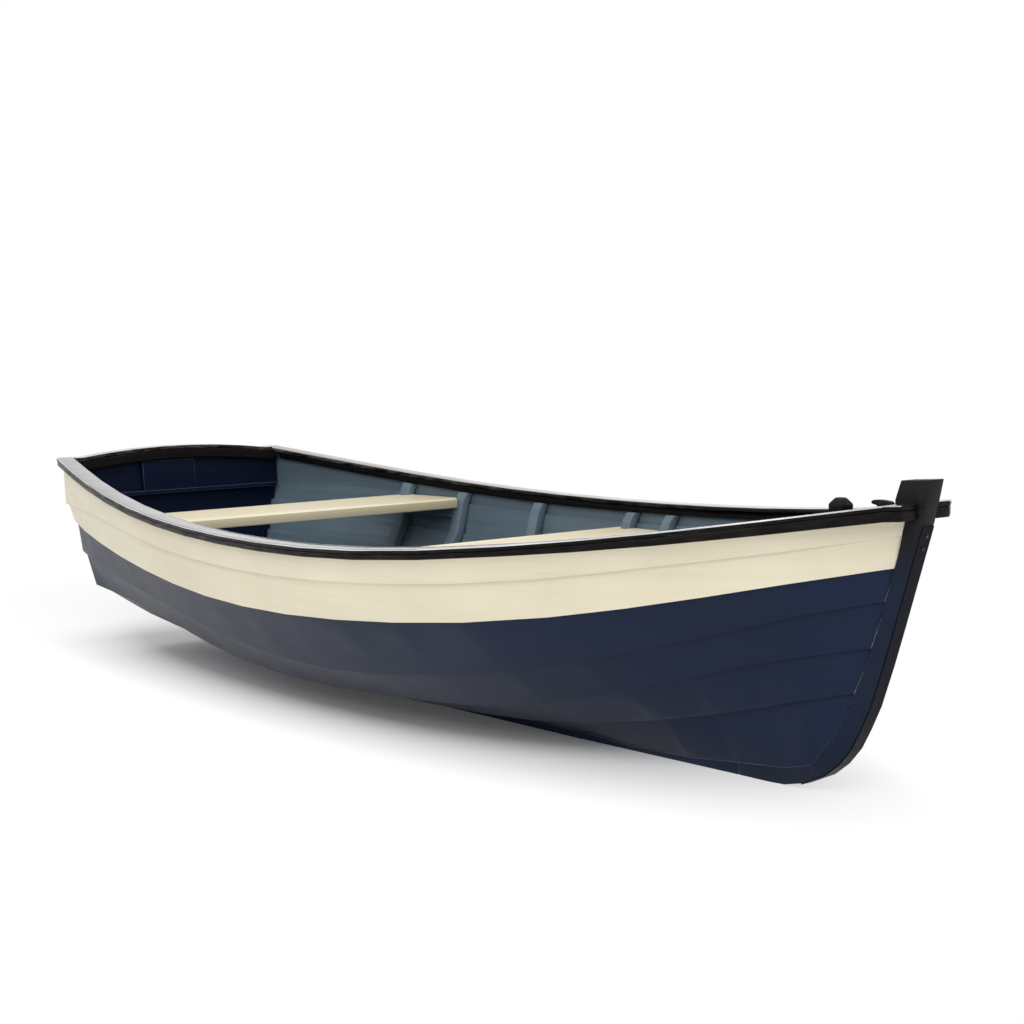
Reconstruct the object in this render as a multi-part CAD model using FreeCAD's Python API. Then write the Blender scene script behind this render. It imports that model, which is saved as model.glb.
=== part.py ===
import FreeCAD
import Part
import math
import os

from FreeCAD import Vector

# Driving dimensions in millimetres: +X to the bow, +Y to port, +Z up from the floor,
# which the straight part of the keel stands on.
LENGTH = 3050.0
PLANK_T = 10.0
PLANK_BOW_T = 6.0
LAP = 20.0
FIT = 0.3
SEAT = 0.6
PLANK_END_GAP = 1.4
LAND_GAP = 2.2
SHOULDER = 0.5
FLATNESS = 0.0001

STEM_HALF = 24.0
STEM_FACE_HALF = 20.0
RABBET_HALF = 26.0
KEEL_FACE_HALF = 34.0
KEEL_RISE = 68.0
KEEL_MIN_DEPTH = 12.0
HOG_HALF = 46.0
HOG_T = 18.0
APRON_HALF = 9.5
APRON_T = 47.0
BAND_HALF = 18.5
BAND_T = 2.5
BAND_TOP = 620.0

CAP_T = 11.0
CAP_CHAMFER = 3.0
CAP_OUT = 20.0
CAP_IN_AFT = 38.0
CAP_IN = 50.0
RAIL_FLARE = 34.0
RUBBING_H = 14.0
RUBBING_NOSE_H = 24.0
RUBBING_INSET = 2.0
INWALE_W = 20.0
INWALE_H = 20.0
RAIL_NOSE_Z = 668.0

TRANSOM_T = 26.0
TRANSOM_RAKE = 6.0
TRANSOM_HALF = 335.0
CROWN = 22.0
TRANSOM_CAP_W = 44.0
TRANSOM_CAP_OVERHANG = 7.0
BEAM_DEPTH = 28.0
BEAM_T = 22.0
BEAM_HALF = 368.0
PAD_WIDTH = 190.0
PAD_OFFSET = -38.0
PAD_T = 14.0
LEDGE_TOP = 493.0
LEDGE_H = 12.0
LEDGE_T = 24.0
LEDGE_HALF = 360.0
KNEE_T = 32.0
KNEE_TOP = 330.0
KNEE_FOOT = 170.0

FRAME_SIDED = 34.0
FRAME_MOULDED = 28.0
FRAME_CLEAR = 1.0
NOTCH_GAP = 1.5
THWART_T = 28.0
THWART_GAP = 2.0
CLEAT_H = 32.0
CLEAT_W = 24.0
BOARD_T = 12.0
BOARD_IN = 60.0
BOARD_OUT = 172.0
BOARD_OVERHANG = 60.0

BREASTHOOK_T = 24.0
BITT_HALF = 20.0
BITT_TOP_HALF = 11.5
BITT_H = 41.0
BITT_SHOULDER = 27.0
HORN_LENGTH = 58.0
HORN_H = 26.0
HORN_W = 13.0

HEAD_Z = 720.0
HEAD_AFT_Z = 714.0
HEAD_STEP_Z = 672.0
HEAD_FACE_HALF = 22.5
SIDES = {"starboard": -1.0, "port": 1.0}

# Hull form. Each row is a station as a share of LENGTH, then half-breadth and height of
# the garboard's low edge, the five laps from the lowest up, and the sheer.
STATIONS = [
    (-0.5, (35, 95), (190, 144), (304, 209), (342, 317), (363, 414), (388, 466), (387, 607)),
    (-0.377, (35, 42), (190, 97), (328, 182), (420, 280), (468, 380), (488, 466), (496, 565)),
    (-0.246, (35, 26), (190, 61), (352, 121), (487, 246), (555, 349), (578, 440), (588, 530)),
    (-0.115, (35, 23), (182, 43), (348, 82), (515, 197), (612, 327), (642, 425), (654, 513)),
    (0.0165, (35, 22), (180, 46), (340, 90), (500, 175), (632, 327), (676, 427), (695, 514)),
    (0.1475, (35, 20), (170, 62), (320, 117), (460, 209), (600, 350), (662, 447), (698, 531)),
    (0.2787, (33, 18), (140, 120), (255, 200), (360, 286), (475, 396), (541, 485), (595, 568)),
    (0.377, (29, 45), (77, 189), (145, 290), (215, 371), (296, 456), (360, 535), (417, 609)),
    (0.436, (29, 193), (42, 236), (76, 332), (120, 426), (170, 498), (216, 567), (262, 639)),
]
# Heights at which the same edges meet the stem, and the stem's rabbet from the forefoot up.
BOW_HEIGHTS = (210, 240, 345, 450, 526, 597, 665)
RABBET = [(0.4383, 210), (0.4605, 366), (0.4688, 448), (0.4791, 548), (0.4859, 633), (0.4891, 665)]
# Stem sections along the garboards: share on the rabbet, then share and height of the face.
FOREFOOT = [(0.3279, 0.3279, 0), (0.3525, 0.3574, 0), (0.377, 0.3738, 2), (0.3918, 0.3902, 13),
            (0.4066, 0.4128, 44), (0.4197, 0.4262, 75), (0.4328, 0.4374, 114)]
# Stem sections above: height on the rabbet, then share and height of the face.
STEM_RISE = [(272, 0.4548, 215), (366, 0.466, 310), (448, 0.4757, 400), (548, 0.4889, 526),
             (633, 0.4997, 630), (655, 0.5013, 655)]
FOREFOOT_HEEL = (208.5, 0.4459, 160)
LOFT_SHARES = (-0.5, -0.443, -0.377, -0.3115, -0.246, -0.18, -0.115, -0.049, 0.0165, 0.082,
               0.1475, 0.213, 0.2787, 0.3279, 0.377, 0.4066, 0.4328)
ARCH_SHARES = (1.0, 0.75, 0.45, 0.15)
RAIL_NOSE = [(RABBET[-1][0], 114.0), (0.4967, 81.0)]
FLARE_FROM = 0.3377
FLARE_SPAN = 0.159
NARROW_RAIL_TO = -0.1
KEEL_AFT = -0.482
KEEL_RISE_FROM = -0.3279
HOG_AFT = -0.4721
INWALE_AFT = -0.4826
INWALE_FORE = 0.383
FRAME_SHARES = (-0.3108, -0.2384, -0.14, -0.022, 0.0272, 0.1475, 0.2459, 0.3377)
BOARD_FRAMES = (2, 3, 4, 5)
BREASTHOOK_SHARES = (0.3836, 0.4066, 0.4328, 0.4459, 0.459, 0.4721)
BITT_SHARE = 0.42
HORN_SHARE = 0.4587
HEAD_SHARES = (0.4757, 0.4807)
HEAD_FACE_SHARES = (0.5013, 0.5026, 0.5062)
# Thwarts: name, share of the aft edge, width and height of the top.
THWARTS = [("aft", -0.3138, 238.0, 479.0), ("forward", -0.0344, 235.0, 437.0)]

AFT = LOFT_SHARES[0] * LENGTH
LOFT_X = [share * LENGTH for share in LOFT_SHARES]
SHEER_AFT = STATIONS[0][-1][1]


def spline(xs, ys, x):
    """Natural cubic through a table, at x."""
    n = len(xs)
    h = [xs[i + 1] - xs[i] for i in range(n - 1)]
    load = [0.0] * n
    for i in range(1, n - 1):
        load[i] = 3.0 * ((ys[i + 1] - ys[i]) / h[i] - (ys[i] - ys[i - 1]) / h[i - 1])
    ratio = [0.0] * n
    part = [0.0] * n
    for i in range(1, n - 1):
        pivot = 2.0 * (xs[i + 1] - xs[i - 1]) - h[i - 1] * ratio[i - 1]
        ratio[i] = h[i] / pivot
        part[i] = (load[i] - h[i - 1] * part[i - 1]) / pivot
    bend = [0.0] * n
    for i in range(n - 2, -1, -1):
        bend[i] = part[i] - ratio[i] * bend[i + 1]
    i = 0
    while i < n - 2 and x > xs[i + 1]:
        i += 1
    slope = (ys[i + 1] - ys[i]) / h[i] - h[i] * (bend[i + 1] + 2.0 * bend[i]) / 3.0
    s = x - xs[i]
    return ys[i] + slope * s + bend[i] * s * s + (bend[i + 1] - bend[i]) / (3.0 * h[i]) * s ** 3


def between(points, value):
    """Straight interpolation in a list of (key, result) pairs."""
    for (a, ra), (b, rb) in zip(points, points[1:]):
        if value <= b:
            return ra + (rb - ra) * (value - a) / (b - a)
    return points[-1][1]


def rabbet_x(z):
    """Place of the stem rabbet at height z."""
    return LENGTH * between([(height, share) for share, height in RABBET], z)


def edge_point(index, x):
    """Outer (y, z) of plank edge index at x: 0 is the garboard's low edge, 6 the sheer."""
    end = BOW_HEIGHTS[index]
    xs = [row[0] * LENGTH for row in STATIONS] + [rabbet_x(end)]
    ys = [row[index + 1][0] for row in STATIONS] + [RABBET_HALF]
    zs = [row[index + 1][1] for row in STATIONS] + [end]
    return spline(xs, ys, x), spline(xs, zs, x)


def unit(a, b):
    """Direction from a to b."""
    dy, dz = b[0] - a[0], b[1] - a[1]
    r = math.hypot(dy, dz)
    return dy / r, dz / r


def inward(d):
    """Normal into the boat of a port plank that runs up along d."""
    return -d[1], d[0]


def mitred(points, t):
    """A line that runs upward, moved inward by t with mitred corners."""
    dirs = [unit(a, b) for a, b in zip(points, points[1:])]
    out = []
    for i, p in enumerate(points):
        n0 = inward(dirs[max(i - 1, 0)])
        n1 = inward(dirs[min(i, len(dirs) - 1)])
        k = t / (1.0 + n0[0] * n1[0] + n0[1] * n1[1])
        out.append((p[0] + (n0[0] + n1[0]) * k, p[1] + (n0[1] + n1[1]) * k))
    return out


def plank_sections(edges, gap, t):
    """Sections of the six strakes from their edges, garboard first, as (outer, inner)."""
    top = (edges[6][0], edges[6][1] - CAP_T - FIT)
    d = unit(edges[5], top)
    outer = [edges[5], (edges[5][0] + d[0] * LAP, edges[5][1] + d[1] * LAP), top]
    inner = mitred(outer, t)
    rise = (top[1] - inner[1][1]) / d[1]
    inner[2] = (inner[1][0] + d[0] * rise, top[1])
    result = [(outer, inner)]
    for k in range(4, -1, -1):
        n = inward(d)
        q = (edges[k + 1][0] + n[0] * (t + gap), edges[k + 1][1] + n[1] * (t + gap))
        outer = [edges[k], q, (q[0] + d[0] * LAP, q[1] + d[1] * LAP)]
        result.insert(0, (outer, mitred(outer, t)))
        d = unit(edges[k], q)
    return result


def fair_section(x):
    """Strake sections at x on the fair lines."""
    return plank_sections([edge_point(i, x) for i in range(7)], FIT, PLANK_T)


def transom_x(z):
    """Place of the transom's raked aft face at height z."""
    return AFT + (SHEER_AFT - z) * math.tan(math.radians(TRANSOM_RAKE))


def loft(rings):
    """Solid of straight runs through closed rings of (x, y, z) corners."""
    wires = [Part.makePolygon([Vector(*p) for p in ring] + [Vector(*ring[0])]) for ring in rings]
    return Part.makeLoft(wires, True, True)


def facetted(rings):
    """Solid of flat facets through closed rings of (x, y, z) corners."""
    rows = [[Vector(*p) for p in ring] for ring in rings]
    outlines = [rows[0], rows[-1]]
    for low, high in zip(rows, rows[1:]):
        for i in range(len(low)):
            a, b, c, d = low[i - 1], low[i], high[i], high[i - 1]
            normal = (b - a).cross(d - a)
            if abs(normal.dot(c - a)) < FLATNESS * normal.Length:
                outlines.append([a, b, c, d])
            else:
                outlines += [[a, b, c], [a, c, d]]
    faces = [Part.Face(Part.makePolygon(corners + corners[:1])) for corners in outlines]
    solid = Part.Solid(Part.Shell(faces))
    if solid.Volume < 0.0:
        solid.reverse()
    return solid


def prism_xz(points, half):
    """Plate of a side outline, on the centreline."""
    corners = [Vector(x, -half, z) for x, z in points]
    return Part.Face(Part.makePolygon(corners + corners[:1])).extrude(Vector(0, 2 * half, 0))


def prism_xy(points, z0, z1):
    """Plate of a plan outline."""
    corners = [Vector(x, y, z0) for x, y in points]
    return Part.Face(Part.makePolygon(corners + corners[:1])).extrude(Vector(0, 0, z1 - z0))


def plank_rings(k):
    """Port rings of strake k, six corners each, from the transom to the stem."""
    rings = []
    for x in LOFT_X:
        outer, inner = fair_section(x)[k]
        rings.append([(transom_x(z) if x == AFT else x, y, z) for y, z in outer + inner])
    edges = [(RABBET_HALF, z) for z in BOW_HEIGHTS]
    outer, inner = plank_sections(edges, LAND_GAP, PLANK_BOW_T)[k]
    z0, z1 = outer[0][1], outer[1][1]
    x0, x1 = rabbet_x(z0) - PLANK_END_GAP, rabbet_x(z1) - PLANK_END_GAP
    rings.append([(x0 + (x1 - x0) * (z - z0) / (z1 - z0), y, z) for y, z in outer + inner])
    return rings


RINGS = [plank_rings(k) for k in range(6)]


def section(x):
    """Strake sections at x as built, garboard first, each as (outer, inner)."""
    result = []
    for rings in RINGS:
        pts = []
        for j in range(6):
            ys = [(ring[j][0], ring[j][1]) for ring in rings]
            zs = [(ring[j][0], ring[j][2]) for ring in rings]
            pts.append((between(ys, x), between(zs, x)))
        result.append((pts[:3], pts[3:]))
    return result


def strake(k, side):
    """One strake, lofted straight between its rings."""
    order = (0, 1, 2, 5, 4, 3)
    return loft([[(ring[j][0], side * ring[j][1], ring[j][2]) for j in order] for ring in RINGS[k]])


def crossing(line, z):
    """Least half-breadth at which a line of (y, z) points passes height z."""
    found = [a[0] + (b[0] - a[0]) * (z - a[1]) / (b[1] - a[1]) for a, b in zip(line, line[1:])
             if min(a[1], b[1]) <= z <= max(a[1], b[1]) and a[1] != b[1]]
    return min(found, default=math.inf)


def planking_y(x, z):
    """Half-breadth of the innermost planking at (x, z)."""
    return min(crossing(inner, z) for outer, inner in section(x))


def low_edge(x):
    """Low outer edge of the garboard at x, as (y, z)."""
    return section(x)[0][0][0]


def sheer_face(x, drop, face):
    """Point of the sheer strake's outer (0) or inner (1) face, at drop below its top."""
    a, b = section(x)[5][face][1:]
    z = b[1] - drop
    return a[0] + (b[0] - a[0]) * (z - a[1]) / (b[1] - a[1]), z


def inwale_drop(x):
    """Depth of the inwale, kept above the head of the second strake."""
    secs = section(x)
    head = max(secs[4][0][2][1], secs[4][1][2][1])
    return min(INWALE_H, secs[5][1][2][1] - head - 2.0)


def hog_ring(x):
    """Hog section, seated on the keel and over both garboards, with its top's height."""
    outer, inner = section(x)[0]
    d = unit(inner[0], inner[1])
    y, z = inner[0]
    over = z + (HOG_HALF - y) * d[1] / d[0] + 2.0 * FIT
    top = over + HOG_T
    half = [(y - SEAT, outer[0][1]), (y - SEAT, z + 2.0 * FIT), (HOG_HALF, over), (HOG_HALF, top)]
    return [(x, p[0], p[1]) for p in half] + [(x, -p[0], p[1]) for p in half[::-1]], top


HOG_X = [HOG_AFT * LENGTH] + LOFT_X[1:13]


def hog():
    """Hog along the inside of the keel."""
    return loft([hog_ring(x)[0] for x in HOG_X])


def hog_top(x):
    """Height of the hog's top at x."""
    return between([(station, hog_ring(station)[1]) for station in HOG_X], x)


def frame_section(x):
    """Outer and inner line of a frame at x, from the hog up to the inwale, port side."""
    secs = section(x)
    if x < HOG_X[-1]:
        outer = [(HOG_HALF + 2.0, hog_top(x) + SEAT)]
    else:
        a, b = secs[0][1][0], secs[0][1][1]
        n = inward(unit(a, b))
        low = STEM_HALF - 6.0
        outer = [(low, a[1] + (low + 2.0 - a[0]) / (b[0] - a[0]) * (b[1] - a[1]) + 4.0),
                 (b[0] + n[0] * NOTCH_GAP, b[1] + n[1] * NOTCH_GAP)]
    for k in range(5):
        n = inward(unit(secs[k][0][0], secs[k][0][1]))
        p = secs[k][1][-1]
        outer.append((p[0] + n[0] * FRAME_CLEAR, p[1] + n[1] * FRAME_CLEAR))
    y, z = sheer_face(x, inwale_drop(x) + 1.0, 1)
    if z > outer[-1][1] + 4.0:
        outer.append((y - FRAME_CLEAR, z))
    inner = mitred(outer, FRAME_MOULDED)
    inner[0] = (outer[0][0], outer[0][1] + FRAME_MOULDED)
    inner[-1] = (outer[-1][0] - FRAME_MOULDED, outer[-1][1])
    return outer, inner


def frame_faces(share):
    """Aft and fore face of the frame at a share of the length."""
    x = share * LENGTH
    return x - FRAME_SIDED / 2, x + FRAME_SIDED / 2


def frame(share):
    """One bent frame from sheer to sheer across the hog."""
    rings = []
    for x in frame_faces(share):
        outer, inner = frame_section(x)
        half = [(-p[0], p[1]) for p in outer[::-1]] + outer
        back = inner[::-1] + [(-p[0], p[1]) for p in inner]
        rings.append([(x, y, z) for y, z in half + back])
    return loft(rings)


def cap_edges(x):
    """Inner and outer half-breadth and top height of the gunwale cap at x."""
    y, z = edge_point(6, x)
    share = x / LENGTH
    inside = between([(-0.5, CAP_IN_AFT), (NARROW_RAIL_TO, CAP_IN_AFT), (0.1, CAP_IN)], share)
    flare = RAIL_FLARE * max(0.0, (share - FLARE_FROM) / FLARE_SPAN) ** 2
    return max(y - inside, STEM_HALF + FIT), y + CAP_OUT + flare, z


def rail_stations():
    """Stations of the rails, with the edges of the cap at each."""
    nose = [(share * LENGTH, STEM_HALF + FIT, y, RAIL_NOSE_Z) for share, y in RAIL_NOSE]
    return [(x,) + cap_edges(x) for x in [AFT - TRANSOM_CAP_OVERHANG] + LOFT_X] + nose


def cap(side):
    """Gunwale cap with its two upper edges eased."""
    rings = []
    c = CAP_CHAMFER
    for x, y0, y1, z in rail_stations():
        ring = [(y0, z - CAP_T), (y1, z - CAP_T), (y1, z - c), (y1 - c, z), (y0 + c, z), (y0, z - c)]
        rings.append([(x, side * y, height) for y, height in ring])
    return loft(rings)


def rubbing_rail(side):
    """Rubbing rail under the cap, outside the planking."""
    rings = []
    for x, y0, y1, z in rail_stations():
        depth = between([(-0.5, RUBBING_H), (0.28, RUBBING_H), (0.5, RUBBING_NOSE_H)], x / LENGTH)
        top = z - CAP_T - FIT
        if x > rabbet_x(BOW_HEIGHTS[-1]) - 1.0:
            inner_top = inner_low = y0 if x > rabbet_x(BOW_HEIGHTS[-1]) + 1.0 else RABBET_HALF + 5.0
        else:
            inner_top = sheer_face(x, 0.0, 0)[0] + FIT
            inner_low = sheer_face(x, depth, 0)[0] + FIT
        y = y1 - RUBBING_INSET
        ring = [(inner_low, top - depth), (y, top - depth), (y, top), (inner_top, top)]
        rings.append([(x, side * yy, zz) for yy, zz in ring])
    return loft(rings)


def inwale(side):
    """Inwale inside the sheer strake."""
    rings = []
    aft, fore = INWALE_AFT * LENGTH, INWALE_FORE * LENGTH
    for x in [aft] + [x for x in LOFT_X if aft + INWALE_W < x < fore - 5.0] + [fore]:
        yt, zt = sheer_face(x, 0.0, 1)
        yb, zb = sheer_face(x, inwale_drop(x), 1)
        ring = [(yb - FIT, zb), (yt - FIT, zt), (yt - FIT - INWALE_W, zt), (yb - FIT - INWALE_W, zb)]
        rings.append([(x, side * y, z) for y, z in ring])
    return loft(rings)


def crown_z(y):
    """Height of the transom's crowned top at y, just under its cap."""
    edge = SHEER_AFT - CAP_T - FIT
    return edge + CROWN * max(0.0, 1.0 - (y / TRANSOM_HALF) ** 2)


def crest(half):
    """Port half of the transom's top, low under the gunwale cap and arched between the caps."""
    low = sheer_face(AFT + TRANSOM_T + TRANSOM_CAP_W, 0.0, 1)[1]
    arch = [(share * TRANSOM_HALF, crown_z(share * TRANSOM_HALF)) for share in ARCH_SHARES]
    return [(half, low), (cap_edges(AFT)[0] - 1.0, low)] + arch


def transom():
    """Raked transom board, notched round the lands of the strakes."""
    secs = fair_section(AFT)
    half = []
    for k, (outer, inner) in enumerate(secs):
        n = inward(unit(outer[0], outer[1]))
        if k == 0:
            half.append((inner[0][0] - SEAT, outer[0][1] + 1.0))
            half.append((inner[0][0] + n[0] * SHOULDER, inner[0][1] + n[1] * SHOULDER))
        else:
            last = secs[k - 1][0][-1]
            half.append((last[0] + n[0] * 0.8, last[1] + 0.8))
        half.append((inner[1][0] + n[0], inner[1][1] + n[1]))
        if k < 5:
            half.append((inner[2][0] + n[0], inner[2][1] + 1.0))
    half += crest(secs[5][1][2][0] - 1.0)
    ring = half + [(-y, z) for y, z in half[::-1]]
    corners = [Vector(transom_x(z), y, z) for y, z in ring]
    return Part.Face(Part.makePolygon(corners + corners[:1])).extrude(Vector(TRANSOM_T, 0, 0))


def transom_face(z):
    """Fore face of the transom at height z, with a glue line."""
    return transom_x(z) + TRANSOM_T + FIT


def transom_cap():
    """Crowned cap over the transom, between the two gunwale caps."""
    rings = []
    aft = AFT - TRANSOM_CAP_OVERHANG
    for x in (aft, aft + TRANSOM_CAP_W):
        ys = [cap_edges(x)[0] - FIT] + [share * TRANSOM_HALF for share in ARCH_SHARES]
        low = [(y, crown_z(y) + FIT) for y in ys + [-y for y in ys[::-1]]]
        rings.append([(x, y, z) for y, z in low] + [(x, y, z + CAP_T) for y, z in low[::-1]])
    return facetted(rings)


def transom_beam():
    """Stiffening beam across the transom, under its cap."""
    half = [(y, z - SHOULDER) for y, z in crest(BEAM_HALF)]
    top = half + [(-y, z) for y, z in half[::-1]]
    corners = [Vector(transom_face(z), y, z) for y, z in top]
    corners += [Vector(transom_face(crown_z(y) - BEAM_DEPTH), y, crown_z(y) - BEAM_DEPTH)
                for y, z in top[::-1]]
    return Part.Face(Part.makePolygon(corners + corners[:1])).extrude(Vector(BEAM_T, 0, 0))


def on_transom(middle, half, low, high, thickness):
    """Flat piece on the fore face of the transom."""
    y0, y1 = middle - half, middle + half
    corners = [Vector(transom_face(z), y, z) for y, z in ((y0, low), (y1, low), (y1, high), (y0, high))]
    return Part.Face(Part.makePolygon(corners + corners[:1])).extrude(Vector(thickness, 0, 0))


def stern_knee():
    """Knee that ties the hog to the transom."""
    heel = HOG_X[0]
    toe = heel + KNEE_FOOT
    face = transom_x(hog_top(heel)) + TRANSOM_T + SHOULDER
    seat = [(x, hog_top(x) + SEAT) for x in [heel, HOG_X[1], toe] if x <= toe]
    top_face = transom_x(KNEE_TOP) + TRANSOM_T + SHOULDER
    throat = (heel + KNEE_FOOT * 0.24, hog_top(heel) + KNEE_FOOT * 0.34)
    back = [(toe, seat[-1][1] + KNEE_T * 0.5), throat, (top_face + KNEE_T * 0.6, KNEE_TOP)]
    return prism_xz([(face, seat[0][1])] + seat + back + [(top_face, KNEE_TOP)], KNEE_T / 2)


def keel():
    """Keel from the transom to the forefoot, rising aft."""
    rings = []
    start = KEEL_RISE_FROM * LENGTH
    xs = [KEEL_AFT * LENGTH, HOG_X[0]] + LOFT_X[1:14]
    span = start - xs[0]
    for x in xs:
        y, z = low_edge(x)
        top = z - FIT
        rise = KEEL_RISE * max(0.0, (start - x) / span) ** 2
        bottom = min(rise, top - KEEL_MIN_DEPTH)
        face = between([(-0.5, KEEL_FACE_HALF), (0.1475, KEEL_FACE_HALF), (0.3279, STEM_FACE_HALF)],
                       x / LENGTH)
        shoulder = y + SHOULDER
        ring = [(-face, bottom), (face, bottom), (shoulder, top), (-shoulder, top)]
        rings.append([(x, yy, zz) for yy, zz in ring])
    return loft(rings)


def stem_pairs():
    """Rabbet (x, half-breadth, z) and face (x, z) of each stem section, from the keel up."""
    pairs = []
    for share, face, height in FOREFOOT:
        y, z = low_edge(share * LENGTH)
        pairs.append(((share * LENGTH, y + SHOULDER, z - FIT), (face * LENGTH, height)))
    half = RABBET_HALF + SHOULDER
    z, face, height = FOREFOOT_HEEL
    pairs.append(((rabbet_x(BOW_HEIGHTS[0]) - SHOULDER, half, z), (face * LENGTH, height)))
    for z, face, height in STEM_RISE:
        pairs.append(((rabbet_x(z), half, z), (face * LENGTH, height)))
    return pairs


def stem():
    """Stem with its forefoot and the head that stands above the rails."""
    rings = []
    for i, ((rx, ry, rz), (fx, fz)) in enumerate(stem_pairs()):
        x = rx + (0.3 if i == 0 else 0.0)
        front = fx + (0.3 if i == 0 else 0.0)
        rings.append([(x, -ry, rz), (x, ry, rz), (front, STEM_FACE_HALF, fz), (front, -STEM_FACE_HALF, fz)])
    post = facetted(rings)
    low_z = STEM_RISE[-1][0]
    steps = [(low_z, low_z, HEAD_SHARES[0], STEM_FACE_HALF),
             (HEAD_STEP_Z, HEAD_STEP_Z, HEAD_SHARES[0], HEAD_FACE_HALF),
             (HEAD_AFT_Z, HEAD_Z, HEAD_SHARES[1], HEAD_FACE_HALF)]
    rings = []
    for (aft_z, fore_z, share, half), face in zip(steps, HEAD_FACE_SHARES):
        a, f = share * LENGTH, face * LENGTH
        rings.append([(a, -STEM_HALF, aft_z), (a, STEM_HALF, aft_z), (f, half, fore_z), (f, -half, fore_z)])
    return post.fuse(facetted(rings)).removeSplitter()


def stem_band():
    """Metal band on the face of the stem, down to the forefoot."""
    faces = [pair[1] for pair in stem_pairs() if pair[1][1] >= 10.0]
    below = [p for p in faces if p[1] < BAND_TOP]
    above = faces[len(below)]
    last = below[-1]
    f = (BAND_TOP - last[1]) / (above[1] - last[1])
    points = below + [(last[0] + (above[0] - last[0]) * f, BAND_TOP)]
    rings = []
    for i, (x, z) in enumerate(points):
        a, b = points[max(i - 1, 0)], points[min(i + 1, len(points) - 1)]
        d = unit(a, b)
        ring = []
        for off in (FIT, FIT + BAND_T):
            ring.append((x + d[1] * off, z - d[0] * off))
        (x0, z0), (x1, z1) = ring
        rings.append([(x0, -BAND_HALF, z0), (x0, BAND_HALF, z0), (x1, BAND_HALF, z1), (x1, -BAND_HALF, z1)])
    return facetted(rings)


def apron():
    """Apron behind the stem, between the plank ends."""
    low_x = [share * LENGTH for share in (LOFT_SHARES[14], LOFT_SHARES[15], LOFT_SHARES[16])]
    low = [(x, low_edge(x)[1] + 1.2) for x in low_x]
    heights = [272, 366, 448, 548, 608]
    heel = rabbet_x(BOW_HEIGHTS[0])
    fore = [(heel - 3.5, BOW_HEIGHTS[0] + 6.0)] + [(rabbet_x(z) - 1.2, z) for z in heights]
    aft = [(rabbet_x(z) - APRON_T, z) for z in heights[::-1]]
    back = [(heel - APRON_T, BOW_HEIGHTS[0] + 14.0), (low_x[1] + 8.0, low[1][1] + APRON_T + 6.0),
            (low_x[0], low[0][1] + APRON_T / 2)]
    return prism_xz(low + fore + aft + back, APRON_HALF)


def breasthook():
    """Solid hook that ties both sheers to the stem."""
    rings = []
    for share in BREASTHOOK_SHARES:
        x = share * LENGTH
        yt, zt = sheer_face(x, 1.0, 1)
        yb, zb = sheer_face(x, min(BREASTHOOK_T, inwale_drop(x)), 1)
        ring = [(-(yb - 1.0), zb), (yb - 1.0, zb), (yt - 1.0, zt), (-(yt - 1.0), zt)]
        rings.append([(x, y, z) for y, z in ring])
    return facetted(rings)


def hook_top(x):
    """Height of the breasthook's top at x, with a glue line."""
    return sheer_face(x, 1.0, 1)[1] + FIT


def bitt():
    """Low mooring bitt with a tapered head."""
    x = BITT_SHARE * LENGTH
    base = hook_top(x + BITT_HALF)
    rings = []
    for z, half in ((0.0, BITT_HALF - 1.0), (BITT_SHOULDER, BITT_HALF), (BITT_H - 3.0, BITT_TOP_HALF),
                    (BITT_H, BITT_TOP_HALF - 2.5)):
        rings.append([(x - half, -half, base + z), (x + half, -half, base + z),
                      (x + half, half, base + z), (x - half, half, base + z)])
    return facetted(rings)


def horn_cleat():
    """Two-horned cleat on the breasthook."""
    x = HORN_SHARE * LENGTH
    tip, foot = HORN_LENGTH / 2, HORN_LENGTH * 0.21
    base = hook_top(x + foot)
    half = [(foot, 0.0), (foot, HORN_H * 0.5), (tip - 1.0, HORN_H * 0.62), (tip, HORN_H * 0.82),
            (tip - 6.0, HORN_H * 0.94), (foot * 0.7, HORN_H)]
    ring = [(x + dx, base + dz) for dx, dz in half] + [(x - dx, base + dz) for dx, dz in half[::-1]]
    return prism_xz(ring, HORN_W / 2)


def thwart_side(aft, fore, top):
    """Port edge of a thwart: out to the planking, notched round each frame it meets."""
    faces = [frame_faces(share) for share in FRAME_SHARES]
    notches = [(max(a - NOTCH_GAP, aft), min(b + NOTCH_GAP, fore), a, b) for a, b in faces
               if b + NOTCH_GAP > aft and a - NOTCH_GAP < fore]
    line = []
    x = aft
    for start, end, face_aft, face_fore in notches + [(fore, fore, None, None)]:
        if start - x > 1.0:
            for station in [x] + [s for s in LOFT_X if x < s < start] + [start]:
                y = min(planking_y(station, top), planking_y(station, top - THWART_T))
                line.append((station, y - THWART_GAP))
        if end > start:
            inner = min(crossing(frame_section(face)[1], z) for face in (face_aft, face_fore)
                        for z in (top, top - THWART_T))
            line += [(start, inner - NOTCH_GAP), (end, inner - NOTCH_GAP)]
        x = end
    return line


def thwart(aft, width, top):
    """Thwart across the boat."""
    side = thwart_side(aft, aft + width, top)
    return prism_xy(side + [(x, -y) for x, y in side[::-1]], top - THWART_T, top)


def thwart_cleat(aft, width, top, side):
    """Bearer under a thwart, between the frames that the thwart meets."""
    faces = [frame_faces(share) for share in FRAME_SHARES]
    near = [pair for pair in faces if pair[1] > aft - FRAME_SIDED and pair[0] < aft + width + FRAME_SIDED]
    start, end = near[0][1] + 2.0, near[1][0] - 2.0
    rings = []
    upper, lower = top - THWART_T - FIT, top - THWART_T - CLEAT_H
    for x in [start] + [s for s in LOFT_X if start < s < end] + [end]:
        y = planking_y(x, upper) - SHOULDER
        low = planking_y(x, lower) - SHOULDER
        back = min(y, low) - CLEAT_W
        ring = [(low, lower), (y, upper), (back, upper), (back, lower)]
        rings.append([(x, side * yy, zz) for yy, zz in ring])
    return loft(rings)


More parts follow.
